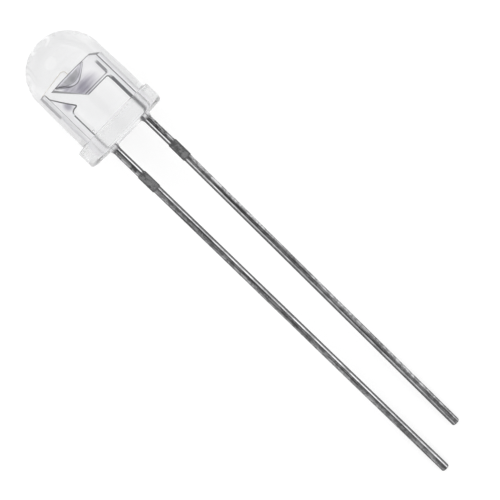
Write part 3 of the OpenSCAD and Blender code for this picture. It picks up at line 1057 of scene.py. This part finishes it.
def head_plate(lead, corners):
    """A head's plate, whose edges are rounded as far as each corner's own radius allows."""
    outline = rounded_outline(corners)
    steps = len(outline) // len(corners)
    rounding = np.repeat([min(lead.sheared, 0.9 * radius) for _, _, radius in corners], steps)
    return plate(outline, lead.strip / 2, rounding)


def post_shells(lead, head):
    """The post: its outer strip, which steps out at the flare, and the plate beside it."""
    inner, outer = [-side for side in lead_sides(lead)]
    out = outer - head.post_flare
    tip = out + head.post_tip
    flare = head.post_under + head.flare_step
    bottom = head.post_under - head.shoulder
    seam = (out + tip) / 2
    small = 1.1 * lead.sheared
    corners = [
        (seam, bottom, TIGHT),
        (inner, bottom, TIGHT),
        (inner, head.post_under, head.post_fillet),
        (inner + head.post_toe, head.post_under, head.toe_round),
        (tip, head.post_top - head.post_tip_height, small),
        (tip, head.post_top, small),
        (seam, head.post_top, TIGHT),
    ]
    stem = -outer - 2 * STEP
    narrow = -tip + small
    wide = -seam - OVERLAP
    rows = [
        (stem, wide, bottom, bottom),
        (stem, wide, flare, flare),
        (-out, narrow, flare + TIGHT, flare + TIGHT),
        (-out, narrow, head.post_top - STEP, head.post_top - STEP),
    ]
    return head_plate(lead, corners), side_strip(rows, lead, -1)


def anvil_shells(lead, head):
    """The anvil: its outer strip, whose top is the cut corner, and the plate beside it."""
    inner, outer = lead_sides(lead)
    cut = outer - head.corner_width
    slope = head.corner_height / head.corner_width
    bottom = head.anvil_under - head.shoulder
    seam = outer - 1.3 * lead.outer_round
    hidden = seam - 2 * OVERLAP
    small = 1.1 * lead.sheared
    corners = [
        (inner, bottom, TIGHT),
        (seam, bottom, TIGHT),
        (seam, head.anvil_top - (seam - cut) * slope, TIGHT),
        (cut, head.anvil_top, small),
        (-head.nose, head.anvil_top, small),
        (-head.heel, head.anvil_under, small),
        (inner, head.anvil_under, head.fillet),
    ]
    top = head.anvil_top - head.corner_height
    outer -= 2 * STEP
    rows = [
        (outer, hidden, bottom, bottom),
        (outer, hidden, top - STEP, top - STEP + (outer - hidden) * slope),
    ]
    return head_plate(lead, corners), side_strip(rows, lead, 1)


def panel_shell(lead, head):
    """The coined panel: five-cornered rings at levels through the strip.

    At a share t of the way up its slope the foot rises and the outer side moves in by t times the
    slope's width. The inner side follows the anvil's slanting end, the outer corner follows its
    cut corner, and the top is level. Both slopes begin a little inside the strip.
    """
    outer = lead_sides(lead)[1]
    side = outer - head.panel_side
    cut = outer - head.corner_width
    foot = head.anvil_under + head.panel_lip
    lean = (head.nose - head.heel) / (head.anvil_top - head.anvil_under)
    sunk = 0.3
    back = 10 * STEP
    top = head.anvil_top - back
    rings = []
    for face, t in ((-1, 1.0), (-1, -sunk), (1, -sunk), (1, 1.0)):
        low = max(foot + t * head.panel_slope, head.anvil_under + TIGHT / 2)
        level = face * (lead.strip / 2 + t * head.panel_out)
        x = side - t * head.panel_slope
        rings.append([
            (back - head.heel - lean * (low - head.anvil_under), level, low),
            (x, level, low),
            (x, level, top - (x - cut) * head.corner_height / head.corner_width),
            (cut, level, top),
            (2 * back - head.nose, level, top),
        ])
    return shell(np.array(rings))


def cup_outside(lead, head):
    """Outside of the reflector cup: a cone that swells out of the strip up to the rim band."""
    half = lead.strip / 2 + head.panel_out
    cone_top = head.anvil_top - head.rim_band
    slope = (head.cup_radius - half) / (head.cone_height - head.rim_band)
    root = half / 2
    root_z = head.anvil_top - head.cone_height - (half - root) / slope
    top = head.anvil_top - 5 * STEP
    profile = np.concatenate([
        [[0.0, root_z], [root, root_z], [head.cup_radius, cone_top]],
        arc((head.cup_radius - TIGHT, top - TIGHT), TIGHT, 0.0, 90.0, 5),
        [[0.0, top]],
    ])
    return lathe(profile, -head.cup_offset)


def cup_inside(head):
    """Hollow of the reflector cup, from above its rim down to its flat floor."""
    rim, fillet = 0.025 * MM, 0.04 * MM
    floor = head.anvil_top - head.cup_depth
    above = head.anvil_top + OVERLAP
    return lathe(np.array([
        [0.0, above],
        [head.cup_mouth + 2 * rim, above],
        [head.cup_mouth + 2 * rim, head.anvil_top + 5 * STEP],
        [head.cup_mouth, head.anvil_top - rim],
        [head.cup_floor + fillet, floor + fillet],
        [head.cup_floor, floor],
        [0.0, floor],
    ]), -head.cup_offset)


def chip_shell(chip, head):
    """The chip: four sided rings whose side narrows a little upwards, with a bevelled top."""
    base = chip_levels(chip, head)[1]
    half = chip.chip / 2
    bevel = 0.012 * MM
    heights = np.array([0.0, 0.5, 1.0, 1.0]) * chip.chip_height
    heights[2] -= bevel
    halves = np.array([half, half, 0.93 * half, 0.93 * half - bevel])
    rings = []
    for z, reach in zip(heights, halves):
        corners = ((-reach, -reach), (reach, -reach), (reach, reach), (-reach, reach))
        ring = rounded_outline([(*corner, TIGHT / 2) for corner in corners], 4)
        x = ring[:, 0] - head.cup_offset
        rings.append(np.stack([x, ring[:, 1], np.full(len(ring), base + z)], axis=1))
    return shell(np.array(rings))


def adhesive_shell(chip, head):
    """The adhesive: a lathe surface that is low at its rim and climbs the chip's foot."""
    base = chip_levels(chip, head)[0]
    reach = min(chip.chip / math.sqrt(2) + chip.glue_spread, head.cup_floor)
    share = np.linspace(0.0, 1.0, 12)
    radius = reach * (1 - share) + 0.45 * chip.chip * share
    rise = chip.glue * (0.25 + 1.35 * share ** 2)
    profile = np.concatenate([
        [[0.0, base], [reach, base]],
        np.stack([radius, base + rise], axis=1),
        [[0.0, base + chip.glue]],
    ])
    return lathe(profile, -head.cup_offset, 48)


def wire_line(chip, lead, head):
    """Line of the wire: up from the ball, round the bend, along its tangent to the stitch."""
    ball_middle = chip_levels(chip, head)[2] + chip.ball_height / 2
    bend_x = -head.cup_offset - chip.bend
    bend_z = head.anvil_top + chip.loop - chip.bend
    end_x = -post_middle(lead, head)
    end_z = head.post_top + chip.stitch_thickness + chip.wire / 2
    run, drop = bend_x - end_x, bend_z - end_z
    fall = math.degrees(math.atan2(drop, run) + math.asin(chip.bend / math.hypot(run, drop)))
    rise = np.array([[-head.cup_offset, ball_middle]])
    bend = arc((bend_x, bend_z), chip.bend, 0.0, 90.0 + fall, 24)
    return np.concatenate([rise, bend, straight(bend[-1], (end_x, end_z), 16)])


def tube(line, radius):
    """Round tube along a line in the strip's plane: each ring is radius (cos a n + sin a y),
    with n the line's normal in that plane and y through the strip."""
    tangent = unit(np.gradient(line, axis=0))
    normal = np.stack([-tangent[:, 1], tangent[:, 0]], axis=1)
    a = round_angles(16)
    out = radius * np.cos(a)
    rings = np.stack([
        line[:, 0:1] + normal[:, 0:1] * out,
        np.repeat(radius * np.sin(a)[None, :], len(line), axis=0),
        line[:, 1:2] + normal[:, 1:2] * out,
    ], axis=-1)
    return shell(rings)


def ball_shell(chip, head):
    """The ball, squashed on the chip: a lathe surface with a half-round side and a flat foot."""
    base = chip_levels(chip, head)[2]
    half = chip.ball_height / 2
    side = arc((chip.ball / 2 - half, base + half), half, -90.0, 90.0, 9)
    neck = [[chip.wire * 0.75, base + chip.ball_height], [0.0, base + chip.ball_height * 1.3]]
    profile = np.concatenate([[[0.0, base]], side, neck])
    return lathe(profile, -head.cup_offset, 32)


def stitch_shell(chip, lead, head):
    """The stitch: rings across the wire that widen and flatten towards its end, as the tool
    leaves them."""
    share = np.linspace(0.0, 1.0, 14)
    x = -post_middle(lead, head) + chip.stitch_length * (0.5 - share)
    wide = (chip.wire + (chip.stitch_width - chip.wire) * np.sin(share * 1.9)) / 2
    high = chip.wire * (1 - share) ** 1.5 + chip.stitch_thickness
    a = round_angles(16)
    rings = np.stack([
        np.repeat(x[:, None], len(a), axis=1),
        wide[:, None] * np.cos(a),
        head.post_top + high[:, None] * (0.5 + 0.5 * np.sin(a)),
    ], axis=-1)
    return shell(rings)


class LED_OT_lens(bpy.types.Operator):
    """Build the clear resin casting"""

    bl_idname = "led.lens"
    bl_label = "Lens"

    def execute(self, context):
        lens, lead = sizes("led_lens"), sizes("led_leads")
        piece = new_object("resin_lens", *lens_shell(lens))
        coves = [new_object("cove", *meniscus_shell(lens, lead, side)) for side in (-1, 1)]
        combine(piece, coves, "UNION")
        add_bubble(piece, lens.bubble_place, lens.bubble)
        finish_piece(piece, "lens_body", resin_material(), 32.0)
        return {"FINISHED"}


class LED_OT_leads(bpy.types.Operator):
    """Build both stampings of the frame: the post's long lead and the anvil's short one"""

    bl_idname = "led.leads"
    bl_label = "Leads"

    def execute(self, context):
        lead, head = sizes("led_leads"), sizes("led_heads")
        steel = frame_material()
        into_post, into_anvil = head.post_under - OVERLAP, head.anvil_under - OVERLAP
        long_lead = new_object("post_lead", *lead_shell(lead, -1, lead.anode, into_post, 0.0))
        post = [new_object("post", *made) for made in post_shells(lead, head)]
        combine(long_lead, post, "UNION")
        finish_piece(long_lead, "anode_lead", steel, largest_smooth=ROUND_FACE)

        short_lead = new_object(
            "anvil_lead", *lead_shell(lead, 1, lead.cathode, into_anvil, lead.toe_in))
        parts = [new_object("anvil", *made) for made in anvil_shells(lead, head)]
        parts.append(new_object("panel", *panel_shell(lead, head)))
        parts.append(new_object("cup", *cup_outside(lead, head)))
        combine(short_lead, parts, "UNION")
        combine(short_lead, [new_object("hollow", *cup_inside(head))], "DIFFERENCE")
        finish_piece(short_lead, "cathode_lead", steel, largest_smooth=ROUND_FACE)
        return {"FINISHED"}


class LED_OT_chip(bpy.types.Operator):
    """Build the chip and the adhesive under it"""

    bl_idname = "led.chip"
    bl_label = "Chip"

    def execute(self, context):
        chip, head = sizes("led_chip"), sizes("led_heads")
        crystal = new_object("crystal_chip", *chip_shell(chip, head))
        finish_piece(crystal, "led_chip", chip_material())
        glue = new_object("chip_glue", *adhesive_shell(chip, head))
        finish_piece(glue, "chip_adhesive", adhesive_material())
        return {"FINISHED"}


class LED_OT_wire(bpy.types.Operator):
    """Build the gold bond wire with its ball and stitch"""

    bl_idname = "led.wire"
    bl_label = "Bond wire"

    def execute(self, context):
        chip, lead, head = sizes("led_chip"), sizes("led_leads"), sizes("led_heads")
        wire = new_object("gold_wire", *tube(wire_line(chip, lead, head), chip.wire / 2))
        ends = [
            new_object("ball", *ball_shell(chip, head)),
            new_object("stitch", *stitch_shell(chip, lead, head)),
        ]
        combine(wire, ends, "UNION")
        finish_piece(wire, "bond_wire", gold_material())
        return {"FINISHED"}


def floor_material(share_lit, studio_level):
    """White floor that keeps the shadow. What the studio's light lacks of white is added only
    where a camera, glossy or transmission ray meets the floor."""
    material, shader = new_material("floor")
    path = shader.id_data.nodes.new("ShaderNodeLightPath")
    seen = larger(*[
        Signal(path.outputs[f"Is {kind} Ray"]) for kind in ("Camera", "Glossy", "Transmission")
    ])
    dress(shader, {
        "Base Color": (share_lit, share_lit, share_lit, 1.0),
        "Roughness": 1.0,
        "Specular IOR Level": 0.0,
        "Emission Color": (*WHITE, 1.0),
        "Emission Strength": seen * (1.0 - share_lit * studio_level),
    })
    return material


def towards(where, direction):
    """Cosine of the angle between a place in the studio and a direction."""
    node = where.tree.nodes.new("ShaderNodeVectorMath")
    node.operation = "DOT_PRODUCT"
    feed(node.inputs[0], where)
    feed(node.inputs[1], direction.tolist())
    return Signal(node.outputs["Value"])


def studio_world():
    """White tent round the object, brighter overhead and on the short lead's side, with one dark
    opening overhead that a camera looks through and a dark card beyond the leads' tips.

    The opening and the card are soft-edged discs about fixed directions of the studio.
    """
    world = bpy.data.worlds.new("studio")
    bpy.context.scene.world = world
    world.use_nodes = True
    tree = world.node_tree
    tree.nodes.clear()
    where = Signal(tree.nodes.new("ShaderNodeTexCoord").outputs["Generated"])
    rim, core = math.cos(math.radians(17.0)), math.cos(math.radians(8.0))
    opening = fade(towards(where, -AXES[1]), rim, core)
    tent = fade(coordinates(where)[2], 0.0, 0.5, 1.0, 1.45)
    tent = tent * ramp(towards(where, AXES[0]), -1.0, 1.0, 0.85, 1.15)
    card = fade(towards(where, -AXES[2]), 0.84, 0.97, 1.0, 0.55)
    background = tree.nodes.new("ShaderNodeBackground")
    strength = tent * ramp(opening, 0.0, 1.0, 1.0, 0.4) * card
    dress(background, {"Color": (*WHITE, 1.0), "Strength": strength})
    output = tree.nodes.new("ShaderNodeOutputWorld")
    feed(output.inputs["Surface"], Signal(background.outputs["Background"]))


def photo_camera():
    """Camera square to the strip, as in the photograph: the leads run down to the right at the
    slant, and the seat's middle falls on its own pixel."""
    stage = sizes("led_stage")
    dome, anode = AXES[2], -AXES[0]
    c, s = math.cos(stage.slant), math.sin(stage.slant)
    right = -c * dome - s * anode
    up = s * dome - c * anode
    back = -AXES[1]
    half = stage.image / 2
    aim = ((half - stage.seat_x) * right - (half - stage.seat_y) * up) / stage.scale
    data = bpy.data.cameras.new("photo_camera")
    data.lens = data.sensor_width * stage.distance * stage.scale / stage.image
    data.clip_start = 0.01
    data.clip_end = 10.0
    camera = bpy.data.objects.new("photo_camera", data)
    turn = Matrix(np.array([right, up, back]).T.tolist()).to_4x4()
    camera.matrix_world = Matrix.Translation(aim + back * stage.distance) @ turn
    bpy.context.scene.collection.objects.link(camera)
    bpy.context.scene.camera = camera


def soft_lamp():
    """One large round soft box high beyond the dome, for a faint shadow."""
    stage = sizes("led_stage")
    data = bpy.data.lights.new("soft_lamp", "AREA")
    data.shape = "DISK"
    data.size = stage.lamp_size
    data.energy = stage.lamp_power
    lamp = bpy.data.objects.new("soft_lamp", data)
    lamp.location = stage.lamp_place
    lamp.rotation_euler = lamp.location.to_track_quat("Z", "Y").to_euler()
    bpy.context.scene.collection.objects.link(lamp)


class LED_OT_stage(bpy.types.Operator):
    """Build the floor, the light and the camera"""

    bl_idname = "led.stage"
    bl_label = "Stage"

    def execute(self, context):
        half = sizes("led_stage").floor_size / 2
        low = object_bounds()[0].z
        corners = [(x, y, low) for x, y in ((-half, -half), (half, -half), (half, half), (-half, half))]
        mesh = bpy.data.meshes.new("floor")
        mesh.from_pydata(corners, [], [(0, 1, 2, 3)])
        mesh.materials.append(floor_material(share_lit=0.3, studio_level=1.05))
        floor = bpy.data.objects.new("floor", mesh)
        bpy.context.scene.collection.objects.link(floor)
        floor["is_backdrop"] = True
        studio_world()
        soft_lamp()
        photo_camera()
        context.scene.view_settings.view_transform = "Standard"
        return {"FINISHED"}


class LED_PT_panel(bpy.types.Panel):
    """The LED's operators"""

    bl_label = "Through-hole LED"
    bl_idname = "LED_PT_panel"
    bl_space_type = "VIEW_3D"
    bl_region_type = "UI"
    bl_category = "LED"

    def draw(self, context):
        for operator in OPERATORS:
            self.layout.operator(operator.bl_idname)


GROUPS = {
    "led_lens": LensSizes,
    "led_leads": LeadSizes,
    "led_heads": HeadSizes,
    "led_chip": ChipSizes,
    "led_finishes": Finishes,
    "led_stage": StageSettings,
}
OPERATORS = (LED_OT_leads, LED_OT_chip, LED_OT_wire, LED_OT_lens, LED_OT_stage)


def register():
    """Registers the classes and hangs the property groups on the scene."""
    for group in GROUPS.values():
        bpy.utils.register_class(group)
    for name, group in GROUPS.items():
        setattr(bpy.types.Scene, name, PointerProperty(type=group))
    for operator in OPERATORS:
        bpy.utils.register_class(operator)
    bpy.utils.register_class(LED_PT_panel)


def unregister():
    """Undoes register."""
    bpy.utils.unregister_class(LED_PT_panel)
    for operator in reversed(OPERATORS):
        bpy.utils.unregister_class(operator)
    for name, group in GROUPS.items():
        delattr(bpy.types.Scene, name)
        bpy.utils.unregister_class(group)


def main():
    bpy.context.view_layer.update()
    register()
    bpy.ops.led.leads()
    bpy.ops.led.chip()
    bpy.ops.led.wire()
    bpy.ops.led.lens()
    bpy.ops.led.stage()


if __name__ == "__main__":
    main()
